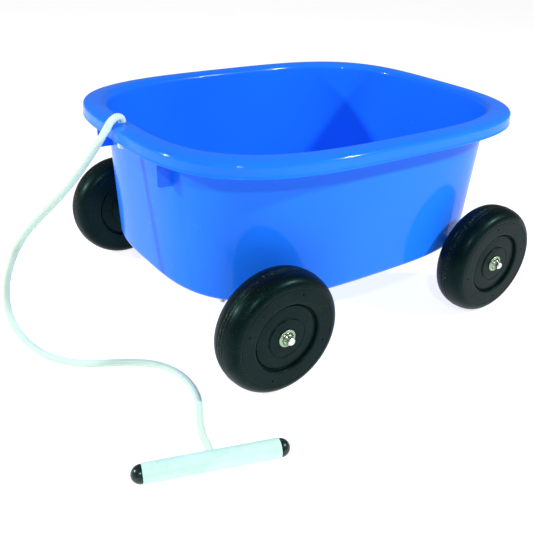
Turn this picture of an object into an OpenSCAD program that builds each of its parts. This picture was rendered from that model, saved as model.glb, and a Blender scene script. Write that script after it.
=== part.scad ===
// Kids pull wagon: a moulded tub on two axles with four blow-moulded wheels
// and a rope with a tube handle.  +X right, -Y the pull end, +Z up, ground at z = 0.
// The origin is on the ground, midway between the four wheels.

/* [Tub] */
// Length over the rim
rim_l = 543.6; // [450:0.1:660]
// Width over the rim
rim_w = 435; // [360:0.5:530]
// Height of the rim's top face above the ground
rim_top_z = 271; // [225:0.5:330]
// Height of the skirt that hangs from the rim's outer edge
skirt_h = 19; // [14:0.5:26]
// Flat width of the rim, from the skirt's face to the inside of the wall
rim_flange = 25; // [22:0.5:32]
// How far the wall leans in on each side, from under the rim to the floor
wall_lean = 9.5; // [4:0.5:16]
// Thickness of the wall, rim and skirt
wall = 3; // [2:0.25:4]
// Thickness of the floor
floor_t = 4; // [3.5:0.25:6]
// Radius of the outside bend between wall and floor
floor_bend = 10; // [8:0.5:16]
// Squareness of the rim's outline, where 2 is an ellipse
rim_square = 3.42; // [2.8:0.01:4.5]
// Squareness of the wall's outline
wall_square = 3.25; // [2.8:0.01:4.5]
// Distance from the wheels' middle back to the tub's middle
tub_offset = 3; // [0:0.5:8]

/* [Gussets] */
// Distance between the two gussets under each end of the rim
gusset_gap = 166; // [120:1:200]
// Thickness of a gusset
gusset_t = 2.5; // [2:0.25:4]
// Height of a gusset below the rim
gusset_h = 50; // [30:1:70]
// How far a gusset stands out of the wall
gusset_out = 16; // [8:0.5:18]

/* [Wheels] */
// Wheel diameter
wheel_d = 152.4; // [126:0.2:184]
// Wheel width
wheel_w = 44.8; // [36:0.2:54]
// Radius where the flat side face meets the rounded tread
side_r = 61; // [54:0.5:64]
// Radius of the step between the side face and the dish
dish_r = 43; // [36:0.5:48]
// Depth of the dish at its outer edge
dish_depth = 3.6; // [2:0.1:6]
// Radius of the flat hub disc
hub_r = 24; // [18:0.5:28]
// Depth of the hub disc below the side face
hub_depth = 2; // [1:0.1:3]
// Thickness of the moulded wheel shell
shell = 3; // [2:0.25:4]
// Diameter of the four vent holes in the side face
vent_d = 2.2; // [1:0.1:4]
// Radius of the circle of vent holes
vent_r = 54; // [50:0.5:57]
// Distance from the tub's side at floor level to a wheel's inner face
wheel_gap = 6.6; // [5.5:0.1:12]
// Distance from each end of the rim to the nearer axle, before the tub's offset
axle_inset = 95.8; // [80:0.1:120]

/* [Axles] */
// Axle diameter
axle_d = 9.5; // [7.9:0.1:12]
// Length of the axle that stands out of the hub
axle_out = 9.6; // [8:0.1:14]
// Wall of the bush inside a wheel
bush_t = 2.2; // [1.5:0.1:3]
// Radial running clearance between bush and axle
run_gap = 0.08; // [0.04:0.01:0.1]
// Radial and end clearance between pieces that are fixed together
fit_gap = 0.05; // [0.02:0.01:0.1]
// End clearance between a turning hub and its neighbours
end_gap = 0.3; // [0.2:0.05:0.6]
// Push nut flange diameter
push_nut_d = 22; // [18:0.5:26]
// Distance from the axle to the outside of the push nut's crown
crown_out = 2.75; // [2.5:0.05:4]
// Push nut height
push_nut_h = 5.2; // [4:0.1:6]
// Push nut sheet thickness
push_nut_t = 0.9; // [0.6:0.05:1.2]
// Wall of the spacer tube
spacer_t = 2.7; // [1.5:0.1:4]
// Hub washer diameter
hub_washer_d = 22; // [18:0.5:26]
// Hub washer thickness
hub_washer_t = 1.5; // [1:0.1:2.5]

/* [Axle straps] */
// Distance from a wheel's middle in to the middle of its strap
strap_in = 92; // [80:1:110]
// Width of a strap along the axle
strap_w = 20; // [16:1:24]
// Thickness of a strap
strap_t = 2; // [1.5:0.1:3]
// Distance from the strap's saddle to the middle of each bolt
bolt_side = 8.2; // [6:0.1:12]
// Bolt diameter
bolt_d = 5; // [4:0.5:6]
// Bolt head diameter
bolt_head_d = 9.4; // [9:0.2:11]
// Length of bolt below the strap's ear
bolt_tail = 8; // [7:0.5:12]
// Nut width across flats
nut_af = 8; // [7.5:0.5:10]
// Nut height
nut_h = 5; // [4:0.5:6]
// Bolt washer diameter
washer_d = 10; // [9:0.5:12]
// Bolt washer thickness
washer_t = 1; // [0.8:0.1:1.6]

/* [Rope] */
// Rope diameter
rope_d = 9; // [8:0.5:9.5]
// Radial clearance of the rope's hole in the front of the rim
rope_hole_gap = 1; // [0.5:0.1:2]
// Distance from the skirt's face in to the middle of that hole
rope_hole_in = 16.3; // [14:0.1:18]
// Diameter of the stopper knot under the rim
knot_d = 17; // [14:0.5:18]
// Length of the stopper knot
knot_l = 18; // [14:0.5:18.5]
// Length of the rope's cut end below the stopper knot
tail_l = 12; // [4:1:30]

/* [Handle] */
// Handle tube length without its caps
handle_l = 140; // [100:1:180]
// Handle tube outer diameter
handle_d = 21.3; // [17.7:0.1:25.6]
// Handle tube wall
handle_wall = 1.6; // [1.4:0.1:1.8]
// Length of an end cap's dome
dome_l = 11; // [8:0.5:14]
// Length of an end cap's plug inside the tube
plug_l = 18; // [12:1:24]
// Wall of an end cap
cap_wall = 1.6; // [1.2:0.1:2]
// Radial clearance of the rope's hole in the handle
handle_hole_gap = 0.7; // [0.4:0.1:1.5]
// Gap between the knot inside the handle and the tube's bore
handle_knot_gap = 0.35; // [0.2:0.05:1]

/* [Hidden] */
corner_names = ["front_left", "front_right", "rear_left", "rear_right"];
// Side (-1 left, 1 right) and end (-1 front, 1 rear) of each corner
corners = [[-1, -1], [1, -1], [-1, 1], [1, 1]];
// How far the vent holes of each wheel are turned, as the wheels have stopped
vent_turn = [25, 70, 50, 10];

wheel_r = wheel_d / 2;
axle_r = axle_d / 2;
bush_r = axle_r + run_gap + bush_t;
hub_face = wheel_w / 2 - hub_depth;
track = rim_w - 2 * (rim_flange + wall_lean - wheel_gap) + wheel_w;
wheelbase = rim_l - 2 * axle_inset;
strap_gap = track - 2 * strap_in;
bolt_offset = axle_r + fit_gap + strap_t + bolt_side;
axle_l = track + 2 * (hub_face + axle_out);
tub_z = wheel_r + axle_r + fit_gap;
floor_z = tub_z + floor_t;

// Rim outline, and the wall's outline just under the rim
rim_a = rim_w / 2;
rim_b = rim_l / 2;
wall_top_z = rim_top_z - wall;
tub_segments = 96;

// Rope route in millimetres, from the stopper knot up through the rim and over its edge,
// down to the ground and round to the handle
rope_route = [
    [-7, -252.5, 268.3], [-6.9, -252.6, 272], [-5.8, -255, 275.6], [-4, -260, 277.2],
    [-2.4, -266, 275.5], [-2.2, -270.6, 271.3], [-3, -273.6, 266],
    [-6, -286, 247], [-11, -301, 225], [-16, -320, 201], [-22, -338, 181],
    [-29, -362, 157], [-33, -380, 136], [-32, -395, 112], [-26, -406, 87], [-16, -411, 63],
    [-1, -409, 40], [17, -399, 22], [35, -383, 10], [53, -363, 5], [68, -343, 4.6],
    [80, -321, 4.6], [92, -300, 4.6], [108, -281, 4.6], [130, -268, 4.6], [155, -263, 4.6],
    [181, -265, 4.6], [205, -273, 4.6], [230, -286, 5.6], [252, -295.5, 8.2],
    [270, -300.4, 10.4], [285.3, -304.9, 10.65]
];
rope_hole = [rope_route[0][0], tub_offset - rim_b + rope_hole_in];
rope_steps = 2;
rope_sides = 10;

// Middle of the handle, and its turn from the Y axis
handle_at = [292, -307];
handle_turn = -17.5;
handle_bore_r = handle_d / 2 - handle_wall;
handle_knot_r = handle_bore_r - handle_knot_gap;

// Power that keeps the sign of its base, for superellipse outlines
function spow(x, p) = sign(x) * pow(abs(x), p);

function reversed(list) = [for (i = [len(list) - 1 : -1 : 0]) list[i]];

// Ring of points round a superellipse with half axes a and b and squareness n, at height z
function ring(a, b, n, z) = [
    for (i = [0 : tub_segments - 1])
        let (t = 360 * i / tub_segments)
            [a * spow(cos(t), 2 / n), tub_offset + b * spow(sin(t), 2 / n), z]
];

// Ring that lies a given distance in from the skirt's outer face
function rim_ring(inset, z) =
    let (k = min(1, inset / rim_flange))
        ring(rim_a - inset, rim_b - inset, rim_square + k * (wall_square - rim_square), z);

// Inset of the wall's outer face at height z
function wall_inset(z) =
    rim_flange + wall_lean * (wall_top_z - z) / (wall_top_z - tub_z);

// Ring on the wall, a given distance inside its outer face
function wall_ring(depth, z) = rim_ring(wall_inset(z) + depth, z);

// X of the right wall's outer face at a given y and z
function wall_x(y, z) =
    let (a = rim_a - wall_inset(z), b = rim_b - wall_inset(z))
        a * pow(1 - pow(abs(y - tub_offset) / b, wall_square), 1 / wall_square);

// Y of the front wall's outer face at a given x and z
function wall_y(x, z) =
    let (a = rim_a - wall_inset(z), b = rim_b - wall_inset(z))
        tub_offset - b * pow(1 - pow(abs(x) / a, wall_square), 1 / wall_square);

// Rings round the bend between floor and wall: d is 0 outside and the wall inside
function bend_rings(depth, z0, r) = [
    for (t = [0 : 15 : 90])
        rim_ring(wall_inset(z0 + r) + depth + r * (1 - sin(t)), z0 + r * (1 - cos(t)))
];

// Rings of the rim's outer face, from the skirt's hem up and over to the inner wall
rim_bend = 9;
function rim_outer() = concat(
    [rim_ring(0.5, rim_top_z - skirt_h), rim_ring(0, rim_top_z - skirt_h + 0.8)],
    [for (t = [0 : 15 : 75])
        rim_ring(rim_bend * (1 - cos(t)), rim_top_z - rim_bend + (rim_bend - 0.5) * sin(t))],
    [rim_ring(rim_bend + 2, rim_top_z - 0.2), rim_ring(rim_flange - 6, rim_top_z)],
    [for (t = [30 : 30 : 90])
        rim_ring(rim_flange - 6 + (6 + wall) * sin(t), rim_top_z - (6 + wall) * (1 - cos(t)))]
);

// The same face seen from below: the inside of the skirt and the underside of the rim
function rim_under() = concat(
    [for (t = [90 : -30 : 0])
        rim_ring(rim_flange - 4 * (1 - sin(t)), wall_top_z - 4 * (1 - cos(t)))],
    [for (t = [90 : -30 : 0])
        rim_ring(wall + (rim_bend - wall) * (1 - cos(t)),
            rim_top_z - rim_bend + (rim_bend - wall) * sin(t))],
    [rim_ring(wall, rim_top_z - skirt_h + 0.8), rim_ring(wall - 0.5, rim_top_z - skirt_h)]
);

// Solid skin through a stack of closed rings, capped flat at both ends
module skin(rings) {
    n = len(rings[0]);
    m = len(rings);
    polyhedron(
        points = [for (r = rings) each r],
        faces = concat(
            [[for (i = [0 : n - 1]) i]],
            [for (j = [0 : m - 2], i = [0 : n - 1])
                [j * n + i, (j + 1) * n + i, (j + 1) * n + (i + 1) % n, j * n + (i + 1) % n]],
            [[for (i = [n - 1 : -1 : 0]) (m - 1) * n + i]]
        ),
        convexity = 10
    );
}

module at_corner(i) {
    translate([corners[i][0] * track / 2, corners[i][1] * wheelbase / 2, wheel_r])
        rotate([0, corners[i][0] * 90, 0])
            children();
}

module at_straps() {
    for (c = corners)
        translate([c[0] * strap_gap / 2, c[1] * wheelbase / 2, 0])
            children();
}

module at_bolts() {
    at_straps()
        for (s = [-1, 1])
            translate([0, s * bolt_offset, 0])
                children();
}

module tube(outer_r, inner_r, h) {
    difference() {
        cylinder(r = outer_r, h = h, $fn = 64);
        translate([0, 0, -1])
            cylinder(r = inner_r, h = h + 2, $fn = 64);
    }
}

// ---- Tub ----

module gusset(x, end) {
    z0 = wall_top_z - gusset_h;
    z1 = wall_top_z + wall / 2;
    root0 = wall_y(x, z0) - tub_offset + wall / 2;
    root1 = wall_y(x, wall_top_z) - tub_offset + wall / 2;
    tip = root1 - wall / 2 - gusset_out;
    chamfer = 2 * wall;
    corner_r = 4;
    translate([x - gusset_t / 2, tub_offset, 0])
        mirror([0, end > 0 ? 1 : 0, 0])
            rotate([90, 0, 90])
                linear_extrude(gusset_t)
                    polygon(concat(
                        [[root0, z0], [root1, z1 - chamfer], [root1 - chamfer, z1], [tip, z1]],
                        [for (t = [0 : 15 : 90])
                            [tip + corner_r * (1 - cos(t)), z0 + corner_r * (1 - sin(t))]]
                    ));
}

module tub() color("dodgerblue") {
    difference() {
        union() {
            skin(concat(
                bend_rings(0, tub_z, floor_bend),
                rim_under(),
                rim_outer(),
                reversed(bend_rings(wall, floor_z, floor_bend - wall))
            ));
            for (x = [-gusset_gap / 2, gusset_gap / 2], end = [-1, 1])
                gusset(x, end);
        }
        at_bolts() {
            translate([0, 0, tub_z - 1])
                cylinder(d = bolt_d + 4 * fit_gap, h = floor_t + 2, $fn = 32);
            translate([0, 0, floor_z - 4 * fit_gap - (bolt_head_d - bolt_d) / 2])
                cylinder(d1 = bolt_d, d2 = bolt_head_d + 1, h = (bolt_head_d + 1 - bolt_d) / 2, $fn = 32);
        }
        translate([rope_hole[0], rope_hole[1], wall_top_z - wall / 2])
            cylinder(r = rope_d / 2 + rope_hole_gap, h = 2 * wall, $fn = 48);
    }
}

// ---- Wheels: drawn about their own axis, with the outer face at +Z ----

tread_steps = 10;

// Half outline of a wheel's outer side from the hub out to the tread's middle, as [radius, z],
// a given distance inside the surface
function side_outline(depth, inner_r) =
    let (face = wheel_w / 2 - depth, slope = 1.5)
        concat(
            [[inner_r, hub_face - depth], [hub_r - depth, hub_face - depth],
             [hub_r + slope - depth, wheel_w / 2 - dish_depth + slope / 2 - depth],
             [dish_r - slope + depth, wheel_w / 2 - dish_depth - depth], [dish_r + depth, face]],
            [for (i = [0 : tread_steps])
                let (t = 90 * i / tread_steps)
                    [side_r + (wheel_r - side_r - depth) * sin(t), face * cos(t)]]
        );

module wheel_body(depth, inner_r) {
    half = side_outline(depth, inner_r);
    other = [for (p = reversed(half)) if (p[1] > 0.001) [p[0], -p[1]]];
    rotate_extrude($fn = 96)
        polygon(concat(half, other));
}

module wheel(i) color("#17211f") {
    at_corner(i)
        difference() {
            wheel_body(0, bush_r + fit_gap);
            wheel_body(shell, bush_r + fit_gap + shell);
            for (k = [0 : 3])
                rotate([0, 0, vent_turn[i] + 90 * k])
                    translate([vent_r, 0, wheel_w / 2 - 2 * shell])
                        cylinder(d = vent_d, h = 3 * shell, $fn = 16);
        }
}

module bush(i) color("white") {
    at_corner(i)
        translate([0, 0, -hub_face])
            tube(bush_r, axle_r + run_gap, 2 * hub_face);
}

// ---- Axles and what holds the wheels on them ----

module axle(end) color("silver") {
    chamfer = 0.8;
    translate([-axle_l / 2, end * wheelbase / 2, wheel_r])
        rotate([0, 90, 0]) {
            cylinder(r1 = axle_r - chamfer, r2 = axle_r, h = chamfer, $fn = 64);
            translate([0, 0, chamfer])
                cylinder(r = axle_r, h = axle_l - 2 * chamfer, $fn = 64);
            translate([0, 0, axle_l - chamfer])
                cylinder(r1 = axle_r, r2 = axle_r - chamfer, h = chamfer, $fn = 64);
        }
}

module front_axle() axle(-1);
module rear_axle() axle(1);

// Pressed sheet nut with a flange, a domed crown and a toothed mouth that grips the axle
module push_nut(i) color("gainsboro") {
    hold = axle_r + fit_gap;
    flange_r = push_nut_d / 2;
    crown_r = axle_r + crown_out;
    t = push_nut_t;
    at_corner(i)
        translate([0, 0, hub_face + end_gap])
            difference() {
                rotate_extrude($fn = 64)
                    polygon([
                        [crown_r - t, 0], [flange_r, 0], [flange_r, t], [crown_r + t, 2 * t],
                        [crown_r, push_nut_h - 2 * t], [crown_r - 2 * t, push_nut_h],
                        [hold, push_nut_h], [hold, push_nut_h - t],
                        [crown_r - 2.5 * t, push_nut_h - t], [crown_r - t, push_nut_h - 2.5 * t]
                    ]);
                for (k = [0 : 5])
                    rotate([0, 0, 60 * k])
                        translate([hold + 1, 0, push_nut_h])
                            cube([2 + t, t, 4 * t], center = true);
            }
}

// Tube on the axle that keeps a wheel out from the tub's side
module spacer(i) color("dimgray") {
    start = wall_x(corners[i][1] * wheelbase / 2, tub_z) + end_gap;
    end = track / 2 - hub_face - 2 * end_gap - hub_washer_t;
    at_corner(i)
        translate([0, 0, start - track / 2])
            tube(axle_r + fit_gap + spacer_t, axle_r + fit_gap, end - start);
}

module hub_washers() color("silver") {
    for (i = [0 : 3])
        at_corner(i)
            translate([0, 0, -hub_face - end_gap - hub_washer_t])
                tube(hub_washer_d / 2, axle_r + fit_gap, hub_washer_t);
}

// Saddle that holds an axle up against the tub's floor
module strap(i) color("gray") {
    inner = axle_r + fit_gap;
    outer = inner + strap_t;
    top = tub_z - fit_gap;
    ear = bolt_offset + bolt_d / 2 + 4;
    translate([corners[i][0] * strap_gap / 2, corners[i][1] * wheelbase / 2, 0])
        difference() {
            translate([-strap_w / 2, 0, wheel_r])
                rotate([90, 0, 90])
                    linear_extrude(strap_w)
                        difference() {
                            union() {
                                circle(r = outer, $fn = 64);
                                translate([-outer, 0])
                                    square([2 * outer, top - wheel_r]);
                                translate([-ear, top - wheel_r - strap_t])
                                    square([2 * ear, strap_t]);
                            }
                            circle(r = inner, $fn = 64);
                            translate([-inner, 0])
                                square([2 * inner, 2 * inner]);
                            translate([-2 * outer, top - wheel_r])
                                square(4 * outer);
                        }
            for (s = [-1, 1])
                translate([0, s * bolt_offset, top - 2 * strap_t])
                    cylinder(d = bolt_d + 4 * fit_gap, h = 3 * strap_t, $fn = 32);
        }
}

module strap_bolts() color("silver") {
    cone = (bolt_head_d - bolt_d) / 2;
    top = floor_z - fit_gap;
    bottom = tub_z - strap_t - bolt_tail;
    at_bolts() {
        translate([0, 0, bottom])
            cylinder(d = bolt_d, h = top - cone - bottom, $fn = 32);
        translate([0, 0, top - cone])
            cylinder(d1 = bolt_d, d2 = bolt_head_d, h = cone, $fn = 32);
    }
}

module strap_washers() color("gainsboro") {
    at_bolts()
        translate([0, 0, tub_z - 2 * fit_gap - strap_t - washer_t])
            tube(washer_d / 2, bolt_d / 2 + fit_gap, washer_t);
}

module strap_nuts() color("silver") {
    at_bolts()
        translate([0, 0, tub_z - 3 * fit_gap - strap_t - washer_t - nut_h])
            difference() {
                cylinder(d = nut_af / cos(30), h = nut_h, $fn = 6);
                translate([0, 0, -1])
                    cylinder(d = bolt_d + 2 * fit_gap, h = nut_h + 2, $fn = 32);
            }
}

// ---- Rope ----

// Point on the Catmull-Rom curve from b to c, with neighbours a and d, at t from 0 to 1
function curve_point(a, b, c, d, t) =
    0.5 * (2 * b + (c - a) * t + (2 * a - 5 * b + 4 * c - d) * t * t
        + (3 * b - a - 3 * c + d) * t * t * t);

function route_point(i) =
    let (n = len(rope_route))
        i < 0 ? 2 * rope_route[0] - rope_route[1]
        : i > n - 1 ? 2 * rope_route[n - 1] - rope_route[n - 2]
        : rope_route[i];

function rope_line() = concat(
    [for (i = [0 : len(rope_route) - 2], k = [0 : rope_steps - 1])
        curve_point(route_point(i - 1), route_point(i), route_point(i + 1), route_point(i + 2),
            k / rope_steps)],
    [rope_route[len(rope_route) - 1]]
);

function unit(v) = v / norm(v);

// Direction of a line of points at point i
function line_dir(line, i) =
    unit(line[min(i + 1, len(line) - 1)] - line[max(i - 1, 0)]);

// Sideways vectors that follow a line without twisting, each squared up from the one before
function sideways(line, last, i = 0) =
    i == len(line) ? []
    : let (d = line_dir(line, i), s = unit(last - (last * d) * d))
        concat([s], sideways(line, s, i + 1));

module pull_rope() color("ivory") {
    line = rope_line();
    sides = sideways(line, [0, 0, 1]);
    skin([
        for (i = [0 : len(line) - 1])
            let (s = sides[i], u = cross(line_dir(line, i), s))
                [for (k = [0 : rope_sides - 1])
                    let (t = -360 * k / rope_sides)
                        line[i] + rope_d / 2 * (cos(t) * s + sin(t) * u)]
    ]);
}

// Stopper knot under the rim, in the channel behind the skirt, with the rope's cut end below
module stopper_knot() color("ivory") {
    flat_r = rope_d / 2 + 0.5;
    start = acos(flat_r / (knot_d / 2));
    translate([rope_hole[0], rope_hole[1], wall_top_z - end_gap])
        rotate_extrude($fn = 48)
            polygon(concat(
                [[0, 0]],
                [for (t = [-start : start / 8 : start + 0.01])
                    [knot_d / 2 * cos(t), -knot_l / 2 * (1 + sin(t) / sin(start))]],
                [[rope_d / 2, -knot_l - 0.5], [rope_d / 2, -knot_l - tail_l], [0, -knot_l - tail_l]]
            ));
}

// ---- Handle ----

module at_handle() {
    translate([handle_at[0], handle_at[1], handle_d / 2])
        rotate([0, 0, handle_turn])
            children();
}

module handle_tube() color("white") {
    at_handle()
        difference() {
            translate([0, handle_l / 2, 0])
                rotate([90, 0, 0])
                    tube(handle_d / 2, handle_bore_r, handle_l);
            rotate([0, -90, 0])
                cylinder(r = rope_d / 2 + handle_hole_gap, h = handle_d, $fn = 48);
        }
}

// Knot that stops the rope inside the handle, flat where the rope comes into it
module handle_knot() color("ivory") {
    middle = [handle_at[0], handle_at[1], handle_d / 2];
    flat_at = norm(middle - rope_route[len(rope_route) - 1]) - end_gap;
    start = asin(flat_at / handle_knot_r);
    at_handle()
        rotate([0, 90, 0])
            rotate_extrude($fn = 48)
                polygon(concat(
                    [[0, -flat_at]],
                    [for (t = [-start : (start + 90) / 16 : 90.01])
                        handle_knot_r * [cos(t), sin(t)]]
                ));
}

// Domed plug in one end of the handle
module handle_cap(end) color("#20211f") {
    dome_r = handle_d / 2 - fit_gap;
    plug_r = handle_bore_r - fit_gap;
    seat = handle_l / 2 + fit_gap;
    rim = 2;
    at_handle()
        mirror([0, end < 0 ? 1 : 0, 0])
            translate([0, seat, 0])
                rotate([-90, 0, 0])
                    rotate_extrude($fn = 64)
                        polygon(concat(
                            [[0, dome_l - cap_wall], [plug_r - cap_wall, 0], [plug_r - cap_wall, -plug_l],
                             [plug_r, -plug_l], [plug_r, 0], [dome_r, 0]],
                            [for (t = [0 : 10 : 90])
                                [dome_r * cos(t), rim + (dome_l - rim) * sin(t)]]
                        ));
}

module front_handle_cap() handle_cap(-1);
module rear_handle_cap() handle_cap(1);

tub();
front_axle();
rear_axle();
for (i = [0 : 3]) {
    wheel(i);
    bush(i);
    spacer(i);
    strap(i);
    push_nut(i);
}
hub_washers();
strap_bolts();
strap_washers();
strap_nuts();
pull_rope();
stopper_knot();
handle_tube();
handle_knot();
front_handle_cap();
rear_handle_cap();
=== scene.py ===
import math
import bmesh
import bpy
from mathutils import Matrix, Vector


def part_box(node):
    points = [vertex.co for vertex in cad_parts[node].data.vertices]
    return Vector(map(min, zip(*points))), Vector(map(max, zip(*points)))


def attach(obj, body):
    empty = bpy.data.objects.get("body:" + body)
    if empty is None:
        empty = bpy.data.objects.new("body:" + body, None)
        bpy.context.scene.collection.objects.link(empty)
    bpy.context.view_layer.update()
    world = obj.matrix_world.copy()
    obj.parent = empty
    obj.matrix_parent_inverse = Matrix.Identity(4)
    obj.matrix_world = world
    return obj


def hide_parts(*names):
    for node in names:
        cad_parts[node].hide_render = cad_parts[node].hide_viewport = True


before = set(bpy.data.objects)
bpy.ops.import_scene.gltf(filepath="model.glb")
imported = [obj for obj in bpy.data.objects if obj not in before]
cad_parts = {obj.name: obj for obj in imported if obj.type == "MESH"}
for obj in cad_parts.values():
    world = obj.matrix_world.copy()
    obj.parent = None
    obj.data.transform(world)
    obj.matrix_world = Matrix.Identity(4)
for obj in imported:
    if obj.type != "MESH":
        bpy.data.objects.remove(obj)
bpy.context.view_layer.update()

mm = 0.001
sharpEdge = 35  # degrees between two faces that shade apart


class Wire:  # an output socket that takes part in arithmetic
    def __init__(self, mix, socket):
        self.mix, self.socket = mix, socket

    def calc(self, operation, first, second):
        return self.mix.add("Math", {"operation": operation}, {0: first, 1: second})

    def __add__(self, other): return self.calc("ADD", self, other)
    def __radd__(self, other): return self.calc("ADD", other, self)
    def __sub__(self, other): return self.calc("SUBTRACT", self, other)
    def __rsub__(self, other): return self.calc("SUBTRACT", other, self)
    def __mul__(self, other): return self.calc("MULTIPLY", self, other)
    def __rmul__(self, other): return self.calc("MULTIPLY", other, self)

    def ramp(self, low, high):  # 0 below low, 1 above high
        return self.mix.add("MapRange", {"clamp": True, "interpolation_type": "SMOOTHSTEP"},
                            {"Value": self, "From Min": low, "From Max": high})


class Finish:  # one material, built up node by node
    def __init__(self, name, **fixed):
        self.material = bpy.data.materials.new(name)
        self.material.use_nodes = True
        self.tree = self.material.node_tree
        self.shader = self.tree.nodes["Principled BSDF"]
        for socket, value in fixed.items():
            self.shader.inputs[socket.replace("_", " ")].default_value = value
        self.place = self.add("TexCoord", {}, {}, "Object")

    def add(self, kind, settings, values, output=0):
        node = self.tree.nodes.new("ShaderNode" + kind)
        for key, value in settings.items():
            setattr(node, key, value)
        for key, value in values.items():
            if isinstance(value, Wire):
                self.tree.links.new(value.socket, node.inputs[key])
            else:
                node.inputs[key].default_value = value
        return Wire(self, node.outputs[output])

    def blend(self, first, second, share):
        return self.add("Mix", {"data_type": "RGBA"}, {0: share, 6: first, 7: second}, 2)

    def grain(self, size, detail=3.0, rough=0.55, stretch=(1, 1, 1)):  # 0 to 1, size in metres
        where = self.add("VectorMath", {"operation": "MULTIPLY"}, {0: self.place, 1: stretch})
        return self.add("TexNoise", {}, {"Vector": where, "Scale": 1 / size, "Detail": detail,
                                         "Roughness": rough})

    def scratches(self, size, width, turn, stretch):  # thin broken lines, 1 on a line
        turned = self.add("VectorRotate", {"rotation_type": "EULER_XYZ"},
                          {"Vector": self.place, "Rotation": turn})
        where = self.add("VectorMath", {"operation": "MULTIPLY"}, {0: turned, 1: stretch})
        cells = self.add("TexVoronoi", {"feature": "DISTANCE_TO_EDGE"},
                         {"Vector": where, "Scale": 1 / size})
        broken = self.grain(size * 0.7, 1.0).ramp(0.52, 0.62)
        return (1 - cells.ramp(0.0, width)) * broken

    def set(self, **sockets):
        for socket, value in sockets.items():
            self.tree.links.new(value.socket, self.shader.inputs[socket.replace("_", " ")])

    def bump(self, height, depth):  # depth in metres
        normal = self.add("Bump", {}, {"Strength": 1.0, "Distance": depth, "Height": height})
        self.tree.links.new(normal.socket, self.shader.inputs["Normal"])


def display(red, green, blue):  # a colour picked on screen, as linear light
    return tuple(((c / 255 + 0.055) / 1.055) ** 2.4 if c > 10 else c / 3294.6
                 for c in (red, green, blue)) + (1.0,)


def makePiece(name, points, faces, finish, body, sharp=sharpEdge):
    mesh = bpy.data.meshes.new(name)
    mesh.from_pydata([tuple(p) for p in points], [], faces)
    mesh.shade_smooth()
    mesh.set_sharp_from_angle(angle=math.radians(sharp))
    mesh.materials.append(finish.material)
    piece = bpy.data.objects.new(name, mesh)
    bpy.context.collection.objects.link(piece)
    if body:
        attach(piece, body)
    return piece


def stacked(rings, loop=False):  # skin over rings of equal length, closed at both ends
    count, around = len(rings), len(rings[0])
    faces = []
    for j in range(count if loop else count - 1):
        for i in range(around):
            a, b = j * around, ((j + 1) % count) * around
            n = (i + 1) % around
            faces.append((a + i, a + n, b + n, b + i))
    if not loop:
        faces.append(tuple(reversed(range(around))))
        faces.append(tuple((count - 1) * around + i for i in range(around)))
    return [p for ring in rings for p in ring], faces


def turned(outline, segments, matrix, loop=False):  # outline of (radius, height) spun about Z
    rings = [[matrix @ Vector((r * math.cos(t), r * math.sin(t), z))
              for t in (math.tau * i / segments for i in range(segments))] for r, z in outline]
    return stacked(rings, loop=loop)


def curveThrough(points, step, closed=False):  # Catmull-Rom samples at an even spacing
    count = len(points)

    def at(i):
        if closed:
            return points[i % count]
        if i < 0:
            return points[0] * 2 - points[1]
        return points[i] if i < count else points[-1] * 2 - points[-2]

    fine = []
    for i in range(count if closed else count - 1):
        a, b, c, d = (at(i + k) for k in (-1, 0, 1, 2))
        for k in range(24):
            t = k / 24
            fine.append(0.5 * (2 * b + (c - a) * t + (2 * a - 5 * b + 4 * c - d) * t * t
                               + (3 * b - a - 3 * c + d) * t ** 3))
    fine.append(points[0] if closed else points[-1])
    lengths = [0.0]
    for a, b in zip(fine, fine[1:]):
        lengths.append(lengths[-1] + (b - a).length)
    total = lengths[-1]
    pieces = max(2, round(total / step))
    even, j = [], 0
    for k in range(pieces + 1):
        goal = total * k / pieces
        while j < len(fine) - 2 and lengths[j + 1] < goal:
            j += 1
        share = (goal - lengths[j]) / max(1e-9, lengths[j + 1] - lengths[j])
        even.append(fine[j].lerp(fine[j + 1], min(1.0, share)))
    return even, total


view = dict(place=(0.7381, -0.5692, 0.5008), right=(0.5664, 0.82342, 0.03422),
            up=(-0.40018, 0.23849, 0.88486), lens=46.5, sensor=36)


def addCamera():
    camera = bpy.data.objects.new("camera", bpy.data.cameras.new("camera"))
    camera.data.lens = view["lens"]
    camera.data.sensor_width = view["sensor"]
    right = Vector(view["right"])
    back = right.cross(Vector(view["up"])).normalized()
    turn = Matrix((right, back.cross(right), back)).transposed()
    camera.matrix_world = Matrix.Translation(view["place"]) @ turn.to_4x4()
    bpy.context.collection.objects.link(camera)
    bpy.context.scene.camera = camera


addCamera()
print("camera")


ropeRoute = [Vector(p) * mm for p in (
    (-7, -252.5, 268.3), (-6.9, -252.6, 272), (-5.8, -255, 275.6), (-4, -260, 277.2),
    (-2.4, -266, 275.5), (-2.2, -270.6, 271.3), (-3, -273.6, 266), (-6, -286, 247),
    (-11, -301, 225), (-16, -320, 201), (-22, -338, 181),
    (-29, -362, 157), (-33, -380, 136), (-32, -395, 112), (-26, -406, 87), (-16, -411, 63),
    (-1, -409, 40), (17, -399, 22), (35, -383, 10), (53, -363, 5), (68, -343, 4.6),
    (80, -321, 4.6), (92, -300, 4.6), (108, -281, 4.6), (130, -268, 4.6), (155, -263, 4.6),
    (181, -265, 4.6), (205, -273, 4.6), (230, -286, 5.6), (252, -295.5, 8.2),
    (270, -300.4, 10.4), (285.3, -304.9, 10.65))]
rope = dict(radius=4.58 * mm, step=0.8 * mm, sides=32, strands=8, pitch=9.6 * mm, swell=0.5 * mm)


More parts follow.
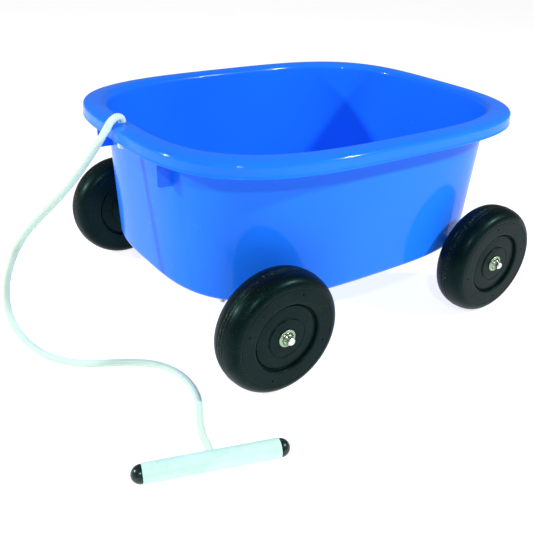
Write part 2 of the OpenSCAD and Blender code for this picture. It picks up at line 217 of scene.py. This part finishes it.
def ropeFinish():
    f = Finish("rope_fibre", Specular_IOR_Level=0.25, Sheen_Weight=0.35, Sheen_Roughness=0.5,
               Subsurface_Weight=0.12, Subsurface_Scale=0.002)
    strand = f.add("Attribute", {"attribute_name": "strand"}, {}, 2)  # 0 in a furrow, 1 on a crown
    # painted shade: the strands' flanks are painted darker than their white crowns
    flankShade, white = display(172, 206, 182), display(222, 250, 233)
    colour = f.blend(flankShade, white, strand.ramp(0.1, 0.85))
    soil = f.grain(0.045, 4.0).ramp(0.58, 0.76)
    colour = f.blend(colour, display(176, 178, 150), soil * 0.4)
    specks = f.grain(0.004, 3.0, 0.7).ramp(0.6, 0.72)
    colour = f.blend(colour, display(150, 140, 112), specks * soil * 0.7)
    # painted shade: the furrows between the strands are painted dark
    furrow = 1 - strand.ramp(0.0, 0.35)
    colour = f.blend(colour, display(96, 124, 104), furrow * 0.9)
    f.set(Base_Color=colour, Roughness=0.72 + 0.2 * soil)
    f.bump(f.grain(0.0005, 2.0) * 0.5 + f.grain(0.0016, 2.0, 0.5), 0.00025)
    return f


def braidHeight(along, turn, strands, pitch):  # crowns of two crossing sets of strands
    a = math.sin(strands / 2 * turn + math.tau * along * strands / 2 / pitch)
    b = math.sin(strands / 2 * turn - math.tau * along * strands / 2 / pitch)
    return max(abs(a) ** 0.7 * (0.5 + 0.5 * math.copysign(1, a * b)),
               abs(b) ** 0.7 * (0.5 - 0.5 * math.copysign(1, a * b)))


def braidedTube(name, line, length, finish, radius, closedEnd=0.0):
    sides, count = rope["sides"], len(line)
    direction = [(line[min(i + 1, count - 1)] - line[max(i - 1, 0)]).normalized()
                 for i in range(count)]
    across = Vector((0, 0, 1))
    rings, crowns = [], []
    for i, point in enumerate(line):
        d = direction[i]
        across = (across - across.dot(d) * d).normalized()
        other = d.cross(across)
        along = length * i / (count - 1)
        edge = 1.0
        if closedEnd:
            near = min(along, length - along)
            edge = min(1.0, math.sqrt(max(0.02, 1 - (1 - min(1, near / closedEnd)) ** 2)))
        ring = []
        for k in range(sides):
            turn = math.tau * k / sides
            crown = braidHeight(along, turn, rope["strands"], rope["pitch"])
            crowns.append(crown)
            r = (radius - rope["swell"] * (1 - crown)) * edge
            ring.append(point + r * (math.cos(turn) * across + math.sin(turn) * other))
        rings.append(ring)
    points, faces = stacked(rings)
    piece = makePiece(name, points, faces, finish, "wagon", sharp=180)
    mark = piece.data.attributes.new("strand", "FLOAT", "POINT")
    mark.data.foreach_set("value", crowns)
    return piece


ropeFibre = ropeFinish()
ropeLine, ropeLength = curveThrough(ropeRoute, rope["step"])
pullRope = braidedTube("braided_rope", ropeLine, ropeLength, ropeFibre, rope["radius"])
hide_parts("pull_rope")


def trefoil(size, height, count=60):  # an overhand knot pulled tight, about its own Z
    points = []
    for i in range(count):
        t = math.tau * i / count
        points.append(Vector((size * (math.sin(t) + 1.55 * math.sin(2 * t)) / 2.55,
                              size * (math.cos(t) - 1.55 * math.cos(2 * t)) / 2.55,
                              -height * math.sin(3 * t))))
    return points


knot = dict(below=9, turn=40, size=5.0, height=3.8, radius=4.0, tailRadius=4.3, tailEnd=1.4,
            tail=((0, 0, 3), (0.4, 0.2, -5), (-1.2, -1.2, -12), (-3.2, -3.0, -20.6)))


def addStopperKnot():
    k = knot
    lo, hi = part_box("stopper_knot")
    middle = Vector(((lo.x + hi.x) / 2, (lo.y + hi.y) / 2, hi.z - k["below"] * mm))
    turn = Matrix.Rotation(math.radians(k["turn"]), 4, "Z")
    line, length = curveThrough(
        [middle + turn @ p for p in trefoil(k["size"] * mm, k["height"] * mm)],
        rope["step"], closed=True)
    loops = braidedTube("overhand_knot", line, length, ropeFibre, k["radius"] * mm)
    tail, tailLength = curveThrough([middle + Vector(p) * mm for p in k["tail"]], rope["step"])
    end = braidedTube("rope_tail", tail, tailLength, ropeFibre, k["tailRadius"] * mm,
                      closedEnd=k["tailEnd"] * mm)
    end.parent = loops
    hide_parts("stopper_knot")
    return loops


stopperKnot = addStopperKnot()
print("rope", round(ropeLength, 4))


tub = dict(halfWidth=217.5, halfLength=271.8, offset=3.0, top=271.0, skirt=19.0, flange=25.0,
           lean=9.5, wall=3.0, base=81.0, floor=85.0, bend=10.0, rimSquare=3.42,
           wallSquare=3.25, around=480, under=268, fillet=4, corner=6,  # below the rim
           hem=((3, 6), (3, 0.8), (2.6, 0.2), (2.0, 0), (1.2, 0), (0.5, 0.25), (0.1, 0.7),
                (0.0, 1.4), (0.35, 2.2), (0.6, 4), (0.75, 7), (0.8, 10.5)),  # inset, height
           roll=(0.8, 264.2), rollBend=4.6, rollTurn=80,  # the rim's outer edge
           crown=((7.5, 269.75), (10.5, 270.4), (15, 270.85)), lip=6, lipBend=9)
ropeHole = dict(base=0.2665, outline=((5.5, 0.0), (5.5, 4.0), (6.0, 4.5), (6.0, 6)))


def tubFinish():
    f = Finish("tub_plastic", IOR=1.1, Specular_Tint=(0.3, 0.85, 1, 1), Coat_Weight=0.3,
               Coat_Roughness=0.09)
    light, deep = display(29, 121, 255), display(23, 110, 254)
    drift = f.grain(0.22, 2.0)
    colour = f.blend(light, deep, drift.ramp(0.35, 0.7) * 0.45)
    speck = f.grain(0.0012, 2.0, 0.7).ramp(0.68, 0.76)
    colour = f.blend(colour, display(90, 165, 252), speck * 0.14)
    rub = f.grain(0.0016, 2.0, 0.5, (0.06, 1.0, 0.5)).ramp(0.66, 0.74)
    marks = rub * f.grain(0.05, 2.0).ramp(0.54, 0.66)
    colour = f.blend(colour, display(80, 156, 252), marks * 0.22)
    dust = f.grain(0.012, 5.0, 0.7).ramp(0.6, 0.8)
    f.set(Base_Color=colour, Roughness=0.2 + 0.1 * drift + 0.1 * marks + 0.08 * dust)
    wave = f.grain(0.06, 2.0, 0.4)
    f.bump(wave * 0.9 + f.grain(0.0011, 2.0, 0.6) * 0.02 - marks * 0.02, 0.0008)
    return f


def power(x, p):
    return math.copysign(abs(x) ** p, x)


def rimRing(inset, z):
    share = min(1.0, inset / tub["flange"])
    n = 2 / (tub["rimSquare"] + share * (tub["wallSquare"] - tub["rimSquare"]))
    a, b = tub["halfWidth"] - inset, tub["halfLength"] - inset
    ring = []
    for i in range(tub["around"]):
        t = math.tau * i / tub["around"]
        ring.append(Vector((a * power(math.cos(t), n), tub["offset"] + b * power(math.sin(t), n),
                            z)) * mm)
    return ring


def wallInset(z):
    return tub["flange"] + tub["lean"] * (tub["under"] - z) / (tub["under"] - tub["base"])


def bendRings(depth, z0, radius):
    return [rimRing(wallInset(z0 + radius) + depth + radius * (1 - math.sin(t)),
                    z0 + radius * (1 - math.cos(t)))
            for t in (math.radians(90 * i / 10) for i in range(11))]


def wallRings(depth, low, high, steps):
    return [rimRing(wallInset(z) + depth, z)
            for z in (low + (high - low) * i / steps for i in range(1, steps))]


def tubRings():  # the skin from the middle of the base, out and over the rim, and back inside
    quarter = [math.radians(90 * i / 8) for i in range(9)]
    top, under, flange, wall = tub["top"], tub["under"], tub["flange"], tub["wall"]
    fillet, corner, lip, lipBend = tub["fillet"], tub["corner"], tub["lip"], tub["lipBend"]
    wallTop = under - corner
    rings = bendRings(0, tub["base"], tub["bend"])
    rings += wallRings(0, tub["base"] + tub["bend"], wallTop, 16)
    rings += [rimRing(flange - fillet * (1 - math.cos(t)), under - fillet + fillet * math.sin(t))
              for t in quarter]
    rings += [rimRing(wall + corner * (1 - math.sin(t)), wallTop + corner * math.cos(t))
              for t in quarter]
    rings += [rimRing(inset, top - tub["skirt"] + height) for inset, height in tub["hem"]]
    inset, height = tub["roll"]
    rings += [rimRing(inset + tub["rollBend"] * (1 - math.cos(t)),
                      height + tub["rollBend"] * math.sin(t))
              for t in (math.radians(tub["rollTurn"] * i / 9) for i in range(10))]
    rings += [rimRing(*place) for place in tub["crown"] + ((flange - lip, top),)]
    rings += [rimRing(flange - lip + lipBend * math.sin(t), top - lipBend * (1 - math.cos(t)))
              for t in quarter[1:]]
    rings += reversed(wallRings(wall, tub["floor"] + tub["bend"] - wall, wallTop, 16))
    rings += reversed(bendRings(wall, tub["floor"], tub["bend"] - wall))
    middle = tub["offset"] * mm
    for k in (0.8, 0.5, 0.25):  # floor inside, each ring a share of the last
        rings.append([Vector((p.x * k, middle + (p.y - middle) * k, p.z)) for p in rings[-1]])
    return rings


def wallY(x, z, end):  # outer face of an end wall, in millimetres
    a, b = tub["halfWidth"] - wallInset(z), tub["halfLength"] - wallInset(z)
    n = tub["wallSquare"]
    return tub["offset"] + end * b * (1 - (abs(x) / a) ** n) ** (1 / n)


def cutWith(piece, cutter):
    cutter.display_type = "WIRE"
    change = piece.modifiers.new("cut", "BOOLEAN")
    change.operation, change.solver, change.object = "DIFFERENCE", "EXACT", cutter
    bpy.context.view_layer.update()
    graph = bpy.context.evaluated_depsgraph_get()
    mesh = bpy.data.meshes.new_from_object(piece.evaluated_get(graph))
    piece.modifiers.remove(change)
    old = piece.data
    piece.data = mesh
    bpy.data.meshes.remove(old)
    shape = cutter.data
    bpy.data.objects.remove(cutter)
    bpy.data.meshes.remove(shape)
    piece.data.shade_smooth()
    piece.data.set_sharp_from_angle(angle=math.radians(sharpEdge))


def fixNormals(piece):
    shape = bmesh.new()
    shape.from_mesh(piece.data)
    bmesh.ops.recalc_face_normals(shape, faces=shape.faces)
    shape.to_mesh(piece.data)
    shape.free()


gusset = dict(at=83, low=218.0, high=269.0, out=16.0, bend=4.0, sunk=1.2, thick=2.5, edge=0.5)


def addGussets(finish):
    g = gusset
    low, high, bend = g["low"], g["high"], g["bend"]
    for x in (-g["at"], g["at"]):
        for end in (-1, 1):
            root = [(wallY(x, z, end) - end * g["sunk"], z)
                    for z in (low + (high - 1 - low) * i / 6 for i in range(7))]
            tip = wallY(x, tub["under"], end) + end * g["out"]
            edge = [(tip, high)] + [
                (tip - end * bend * (1 - math.cos(t)), low + bend * (1 - math.sin(t)))
                for t in (math.radians(90 * i / 6) for i in range(7))]
            outline = root + edge
            half = len(outline)
            points = [Vector((x + s * g["thick"] / 2, y, z)) * mm
                      for s in (-1, 1) for y, z in outline]
            faces = [tuple(range(half)), tuple(reversed(range(half, 2 * half)))]
            faces += [(i, half + i, half + (i + 1) % half, (i + 1) % half) for i in range(half)]
            piece = makePiece("tub_gusset", points, faces, finish, "wagon")
            fixNormals(piece)
            soften = piece.modifiers.new("edges", "BEVEL")
            soften.width, soften.segments, soften.limit_method = g["edge"] * mm, 2, "ANGLE"


def addTub():
    finish = tubFinish()
    points, faces = stacked(tubRings())
    shell = makePiece("tub_shell", points, faces, finish, "wagon")
    fixNormals(shell)
    rim = Matrix.Translation((ropeRoute[0].x, ropeRoute[0].y, ropeHole["base"]))
    outline = [(r * mm, z * mm) for r, z in ropeHole["outline"]]
    cutWith(shell, makePiece("cutter", *turned(outline, 64, rim), finish, None))
    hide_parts("tub")
    addGussets(finish)


addTub()
print("tub")


axleZ = 0.0762
wheels = {"front_left": (-1, -1, 25), "front_right": (1, -1, 70),  # side, end, turn of the vents
          "rear_left": (-1, 1, 50), "rear_right": (1, 1, 10)}
halfTrack, halfBase = 0.212, 0.176
wheel = dict(segments=256, bore=7.08, hub=24.0, hubFace=20.4, dish=43.0, dishFace=18.8,
             face=22.4, side=61.0, outer=76.2, hubFoot=19.45, vents=4, ventAt=54.0, vent=1.1,
             ventDepth=6, ventMouth=(1.5, 0.2), flashAt=1.6, flashReach=2.4)
tread = dict(curve=2.35, bead=0.25, beadHalf=0.6, furrow=0.3, furrowAt=0.95, furrowHalf=0.35,
             line=0.45, lineAt=5.2, lineHalf=0.6)


def wheelFinish():
    f = Finish("wheel_plastic", IOR=1.2, Specular_Tint=(0.15, 1, 0.95, 1), Coat_Weight=0.05,
               Coat_Roughness=0.25)
    drift = f.grain(0.05, 3.0)
    colour = f.blend(display(3, 9, 10), display(9, 20, 21), drift.ramp(0.35, 0.7))
    dust = f.grain(0.009, 5.0, 0.7).ramp(0.56, 0.74)
    specks = f.grain(0.0011, 2.0, 0.6).ramp(0.68, 0.74)
    colour = f.blend(colour, display(90, 116, 112), dust * 0.02)
    colour = f.blend(colour, display(170, 190, 184), specks * 0.2)
    scuff = f.grain(0.002, 3.0, 0.6, (0.3, 0.12, 1.0)).ramp(0.62, 0.74)
    colour = f.blend(colour, display(70, 92, 90), scuff * 0.1)
    seam = f.add("Attribute", {"attribute_name": "seam"}, {}, 2)  # 1 at the parting line
    flash = f.grain(0.003, 4.0, 0.8).ramp(0.54, 0.6) * seam.ramp(0.2, 0.6)
    colour = f.blend(colour, display(112, 122, 96), flash * 0.35)
    around = f.add("Attribute", {"attribute_name": "around"}, {}, 1)  # the place round the wheel
    streak = f.add("TexNoise", {}, {"Vector": around, "Scale": 900.0, "Detail": 3.0})
    f.set(Base_Color=colour,
          Roughness=0.3 + 0.08 * drift + 0.1 * dust + 0.08 * scuff + 0.14 * streak + 0.15 * flash)
    f.bump(f.grain(0.014, 2.0, 0.4) * 0.5 + f.grain(0.0007, 2.0, 0.6) * 0.03 + streak * 0.04
           + flash * 0.35, 0.0006)
    return f


def rounded(corners, radius, steps=4):  # a polyline with its inner corners rounded
    result = [corners[0]]
    for before, corner, after in zip(corners, corners[1:], corners[2:]):
        p, a, b = Vector(corner), Vector(before), Vector(after)
        reach = min(radius, 0.45 * (a - p).length, 0.45 * (b - p).length)
        start, end = p + (a - p).normalized() * reach, p + (b - p).normalized() * reach
        for i in range(steps + 1):
            t = i / steps
            result.append(tuple((1 - t) ** 2 * start + 2 * t * (1 - t) * p + t * t * end))
    return result + [corners[-1]]


def treadRadius(z):  # a full, slightly flattened curve, a parting bead, a furrow and a line
    w, t, z = wheel, tread, abs(z)
    rise = w["outer"] - t["bead"] - w["side"]
    r = w["side"] + rise * (1 - (z / w["face"]) ** t["curve"]) ** (1 / t["curve"])
    bead = min(1.0, 1.8 * max(0.0, 1 - z / t["beadHalf"]))
    furrow = max(0.0, 1 - abs(z - t["furrowAt"]) / t["furrowHalf"])
    line = max(0.0, 1 - abs(z - t["lineAt"]) / t["lineHalf"])
    return r + t["bead"] * bead - t["furrow"] * furrow - t["line"] * line


def wheelOutline():
    w = wheel
    face = rounded([(w["bore"], w["hubFace"] - 1.2), (w["bore"] + 0.8, w["hubFace"]),
                    (w["hub"] - 1.0, w["hubFace"]), (w["hub"] - 0.4, w["hubFace"] - 1.4),
                    (w["hub"] + 0.7, w["hubFace"] - 1.5), (w["hub"] + 1.9, w["hubFoot"]),
                    (w["dish"] - 3.4, w["dishFace"]), (w["dish"] - 2.5, w["dishFace"] - 1.5),
                    (w["dish"] - 1.1, w["dishFace"] - 1.5), (w["dish"] - 0.4, w["face"] - 0.8),
                    (w["dish"] + 1.4, w["face"]),
                    (w["side"] - 1.7, w["face"]), (w["side"] - 1.1, w["face"] + 0.02),
                    (w["side"] - 0.5, w["face"] - 0.35)], 0.9)
    heights = [w["face"] * math.cos(math.radians(90 * i / 44)) for i in range(1, 42)]
    # closer together at the parting bead, the furrow and the line
    heights += [5.8, 5.4, 5.2, 5.0, 4.6, 1.3, 1.1, 0.95, 0.8, 0.6, 0.45, 0.27, 0.1]
    half = face + [(treadRadius(z), z) for z in sorted(heights, reverse=True)]
    half.append((treadRadius(0), 0.0))
    return half + [(r, -z) for r, z in reversed(half) if z > 0.01]


def cornerCopy(pattern, name, side, end, turn):  # local Z points out along the axle
    place = Matrix.Translation((side * halfTrack, end * halfBase, axleZ))
    mesh = pattern.data.copy()
    mesh.transform(place @ Matrix.Rotation(side * math.pi / 2, 4, "Y")
                   @ Matrix.Rotation(math.radians(turn), 4, "Z"))
    piece = bpy.data.objects.new(name, mesh)
    bpy.context.collection.objects.link(piece)
    return piece


def markWheel(mesh):  # where the parting line is, and the place round the wheel
    seam, around = [], []
    for vertex in mesh.vertices:
        r = math.hypot(vertex.co.x, vertex.co.y)
        away = abs(abs(vertex.co.z) - wheel["flashAt"] * mm) / (wheel["flashReach"] * mm)
        seam.append(max(0.0, 1 - away) if r > (wheel["outer"] - 2) * mm else 0.0)
        around += [vertex.co.x * 0.06 / r, vertex.co.y * 0.06 / r, 0.0]
    mesh.attributes.new("seam", "FLOAT", "POINT").data.foreach_set("value", seam)
    mesh.attributes.new("around", "FLOAT_VECTOR", "POINT").data.foreach_set("vector", around)


def addWheels():
    finish = wheelFinish()
    outline = [(r * mm, z * mm) for r, z in wheelOutline()]
    pattern = makePiece("wheel_pattern", *turned(outline, wheel["segments"], Matrix(), loop=True),
                        finish, None)
    fixNormals(pattern)
    vent = [(r * mm, z * mm) for r, z in (
        (wheel["vent"], -wheel["ventDepth"]), (wheel["vent"], -0.3), wheel["ventMouth"])]
    points, faces = [], []
    for k in range(wheel["vents"]):
        at = Matrix.Rotation(math.tau * k / wheel["vents"], 4, "Z") @ Matrix.Translation(
            (wheel["ventAt"] * mm, 0, wheel["face"] * mm))
        more, skin = turned(vent, 24, at)
        faces += [tuple(i + len(points) for i in face) for face in skin]
        points += more
    cutWith(pattern, makePiece("cutter", points, faces, finish, None))
    markWheel(pattern.data)
    for corner, (side, end, turn) in wheels.items():
        piece = cornerCopy(pattern, corner + "_moulded_wheel", side, end, turn)
        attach(piece, corner + "_wheel_body")
        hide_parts(corner + "_wheel")
    bpy.data.objects.remove(pattern)


addWheels()
print("wheels")


def steelFinish(name, colour, rough, brush=0.0, stain=0.3):
    f = Finish(name, Metallic=1.0)
    drift = f.grain(0.006, 4.0)
    light, dark = display(*colour), display(*(round(c * 0.62) for c in colour))
    tint = f.blend(light, dark, drift.ramp(0.45, 0.75) * stain)
    spots = f.grain(0.0016, 3.0, 0.7).ramp(0.6, 0.72)
    tint = f.blend(tint, display(120, 112, 92), spots * stain)
    marks = f.scratches(0.006, 0.03, (0.3, 0.8, 0.2), (1.0, 0.3, 1.0))
    f.set(Base_Color=tint, Roughness=rough + 0.16 * drift + 0.2 * spots + 0.1 * marks)
    f.bump(f.grain(0.0012, 3.0, 0.6, (1, 1 + brush, 1)) + marks * 0.4, 0.00012)
    return f


pushNut = dict(start=20.7, flange=11.0, crown=7.5, height=5.2, thick=0.9, hold=4.8, turn=12,
               slits=6, slitFrom=4.4, slitTo=6.6, slitHalf=0.45, slitDepth=1.5)


def addPushNuts():
    finish = steelFinish("push_nut_steel", (160, 184, 156), 0.18, stain=0.6)
    n = pushNut
    t, c, h = n["thick"], n["crown"], n["height"]
    outer = rounded([(n["flange"] - 0.3, 0.0), (n["flange"], 0.35), (n["flange"] - 0.4, t),
                     (c + 1.3, t), (c + 0.25, 1.6 * t), (c - 0.2, h - 2.4 * t), (c - 1.4, h - 0.5),
                     (n["hold"] + 0.5, h), (n["hold"], h - 0.25)], 0.7, 5)
    inner = [(n["hold"], h - t), (c - 2.2, h - t), (c - t, h - 2.6 * t), (c - t, 0.0)]
    outline = [(r * mm, (z + n["start"]) * mm) for r, z in outer + inner]
    pattern = makePiece("nut_pattern", *turned(outline, 96, Matrix(), loop=True), finish, None)
    fixNormals(pattern)
    points, faces = [], []
    near, far, side = n["slitFrom"], n["slitTo"], n["slitHalf"]
    for k in range(n["slits"]):
        at = Matrix.Rotation(math.tau * k / n["slits"], 4, "Z")
        box = [at @ (Vector((x, y, n["start"] + h + z)) * mm) for z in (-n["slitDepth"], 1)
               for x, y in ((near, -side), (far, -side), (far, side), (near, side))]
        more, skin = stacked([box[:4], box[4:]])
        faces += [tuple(i + len(points) for i in face) for face in skin]
        points += more
    cutWith(pattern, makePiece("cutter", points, faces, finish, None))
    for corner, (side, end, turn) in wheels.items():
        piece = cornerCopy(pattern, corner + "_pressed_nut", side, end, turn + n["turn"])
        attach(piece, "wagon")
        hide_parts(corner + "_push_nut")
    bpy.data.objects.remove(pattern)


addPushNuts()
print("push nuts")


handleMiddle = Vector((0.292, -0.307, 0.01065))
handleTurn = math.radians(-17.5)
handle = dict(radius=10.65, bore=9.05, half=70.0, hole=((5.2, 4), (5.2, 10.0), (5.9, 10.9)),
              dome=9.75, domeLength=11.0, plug=18)


def handleMatrix(flip=1):
    place = Matrix.Translation(handleMiddle) @ Matrix.Rotation(handleTurn, 4, "Z")
    return place @ Matrix.Rotation(-flip * math.pi / 2, 4, "X")  # local Z along the tube


def handleFinish():
    f = Finish("handle_plastic", Subsurface_Weight=0.2, Subsurface_Scale=0.006, IOR=1.5,
               Coat_Weight=0.2, Coat_Roughness=0.12)
    drift = f.grain(0.03, 3.0)
    colour = f.blend(display(210, 246, 235), display(196, 238, 225), drift.ramp(0.35, 0.7))
    dirt = f.grain(0.006, 5.0, 0.75).ramp(0.6, 0.74) * f.grain(0.04, 2.0).ramp(0.45, 0.6)
    colour = f.blend(colour, display(112, 122, 116), dirt * 0.45)
    scratch = f.scratches(0.02, 0.02, (0.2, 0.4, 1.1), (1.0, 0.4, 1.0))
    colour = f.blend(colour, display(168, 196, 184), scratch * 0.35)
    f.set(Base_Color=colour, Roughness=0.32 + 0.12 * drift + 0.2 * dirt + 0.1 * scratch)
    f.bump(f.grain(0.009, 2.0, 0.5) * 0.4 + f.grain(0.0006, 2.0) * 0.04 - scratch * 0.1,
           0.0004)
    return f


def capFinish():
    f = Finish("cap_plastic", Coat_Weight=0.15, Coat_Roughness=0.1, Specular_IOR_Level=0.4,
               Specular_Tint=(0.6, 1, 0.95, 1))
    drift = f.grain(0.01, 3.0)
    dust = f.grain(0.0012, 3.0, 0.7).ramp(0.6, 0.72)
    colour = f.blend(display(8, 18, 19), display(16, 30, 31), drift)
    colour = f.blend(colour, display(150, 155, 150), dust * 0.2)
    f.set(Base_Color=colour, Roughness=0.24 + 0.12 * drift + 0.2 * dust)
    f.bump(f.grain(0.004, 2.0) * 0.3 + f.grain(0.0006, 2.0) * 0.05, 0.0003)
    return f


def addHandle():
    h = handle
    finish = handleFinish()
    half = [(h["bore"], 0.0), (h["bore"], h["half"] - 0.5), (h["bore"] + 0.45, h["half"]),
            (h["radius"] - 0.55, h["half"]), (h["radius"], h["half"] - 0.6), (h["radius"], 0.0)]
    half = rounded(half, 0.35, 3)
    body = half + [(r, -z) for r, z in reversed(half[1:-1])]
    tube = makePiece("grip_tube", *turned([(r * mm, z * mm) for r, z in body], 128,
                                          handleMatrix(), loop=True), finish, "wagon")
    fixNormals(tube)
    side = Matrix.Translation(handleMiddle) @ Matrix.Rotation(handleTurn, 4, "Z")
    side = side @ Matrix.Rotation(-math.pi / 2, 4, "Y")
    bore = [(r * mm, z * mm) for r, z in h["hole"]]
    cutWith(tube, makePiece("cutter", *turned(bore, 64, side), finish, None))
    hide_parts("handle_tube")
    dark = capFinish()
    for name, flip in (("front", -1), ("rear", 1)):
        s, r, d = h["half"] + 0.05, h["dome"], h["domeLength"]  # s: where the cap's face sits
        low = s - h["plug"]
        outer = [(h["bore"] - 0.05, low), (h["bore"] - 0.05, s), (r - 0.3, s), (r, s + 0.35)]
        outer += [(r * math.cos(t), s + 1.2 + (d - 1.2) * math.sin(t) ** 1.05)
                  for t in (math.radians(88.5 * i / 24) for i in range(25))]
        inner = [(0.25, s + d - 1.6), (h["bore"] - 2, s), (h["bore"] - 1.65, low)]
        outline = [(x * mm, z * mm) for x, z in outer + inner]
        cap = makePiece(name + "_end_cap", *turned(outline, 96, handleMatrix(flip), loop=True),
                        dark, "wagon")
        fixNormals(cap)
        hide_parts(name + "_handle_cap")


addHandle()
print("handle")


def plainPlastic(name, light, dark, rough):
    f = Finish(name)
    drift = f.grain(0.008, 3.0)
    specks = f.grain(0.001, 2.0, 0.7).ramp(0.62, 0.72)
    colour = f.blend(f.blend(display(*light), display(*dark), drift), display(120, 120, 110),
                     specks * 0.3)
    f.set(Base_Color=colour, Roughness=rough + 0.15 * drift)
    f.bump(f.grain(0.002, 3.0) * 0.4, 0.0002)
    return f


def nodeObjects(node):
    return [o for o in bpy.data.objects if o.type == "MESH" and o.name == node]


def dressCad():  # finishes for the parts that keep their own shape
    bright = steelFinish("axle_steel", (226, 228, 220), 0.2, brush=6.0)
    zinc = steelFinish("fastener_steel", (206, 208, 202), 0.3)
    strap = steelFinish("strap_steel", (176, 180, 178), 0.36)
    spacer = plainPlastic("spacer_plastic", (40, 44, 44), (56, 60, 60), 0.4)
    bush = plainPlastic("bush_plastic", (226, 226, 216), (206, 206, 196), 0.38)
    fixed = {"front_axle": bright, "rear_axle": bright, "hub_washers": zinc, "strap_bolts": zinc,
             "strap_washers": zinc, "strap_nuts": zinc, "handle_knot": ropeFibre}
    for corner in wheels:
        fixed[corner + "_spacer"], fixed[corner + "_bush"] = spacer, bush
        fixed[corner + "_strap"] = strap
    for node, finish in fixed.items():
        for piece in nodeObjects(node):
            for slot in piece.material_slots:
                slot.material = finish.material


dressCad()
print("finishes")


def addFloor():
    f = Finish("floor_paint", Specular_IOR_Level=0.0, Emission_Strength=0.84)
    drift = f.grain(0.6, 3.0)
    f.set(Base_Color=f.blend(display(190, 190, 190), display(184, 184, 185), drift),
          Emission_Color=f.blend(display(255, 255, 255), display(253, 253, 254), drift))
    shape = bmesh.new()
    bmesh.ops.create_grid(shape, x_segments=8, y_segments=8, size=9)
    mesh = bpy.data.meshes.new("floor")
    shape.to_mesh(mesh)
    shape.free()
    mesh.materials.append(f.material)
    floor = bpy.data.objects.new("floor", mesh)
    bpy.context.collection.objects.link(floor)


def addLight(name, place, target, size, watts, colour=(1, 1, 1)):
    light = bpy.data.lights.new(name, "AREA")
    light.shape, light.size, light.energy, light.color = "DISK", size, watts, colour
    lamp = bpy.data.objects.new(name, light)
    lamp.location = place
    lamp.rotation_euler = (Vector(place) - Vector(target)).to_track_quat("Z", "Y").to_euler()
    bpy.context.collection.objects.link(lamp)


def addSky(seen, cast):  # brightness of the backdrop, and of the light that it gives
    world = bpy.data.worlds.new("studio")
    world.use_nodes = True
    tree = world.node_tree
    back = tree.nodes["Background"]
    back.inputs["Color"].default_value = (1, 1, 1, 1)
    rays, share = tree.nodes.new("ShaderNodeLightPath"), tree.nodes.new("ShaderNodeMapRange")
    share.inputs["To Min"].default_value, share.inputs["To Max"].default_value = cast, seen
    tree.links.new(rays.outputs["Is Camera Ray"], share.inputs["Value"])
    tree.links.new(share.outputs["Result"], back.inputs["Strength"])
    bpy.context.scene.world = world


addFloor()
addSky(1.0, 0.22)
addLight("right", (1.3, 0.95, 1.35), (0, 0, 0.12), 0.16, 28)
addLight("left", (-0.9, -1.8, 1.05), (0, -0.1, 0.15), 0.12, 29)
addLight("front", (1.3, -1.0, 1.35), (0, 0, 0.12), 0.1, 12)
bpy.context.scene.view_settings.view_transform = "Standard"
print("lights")
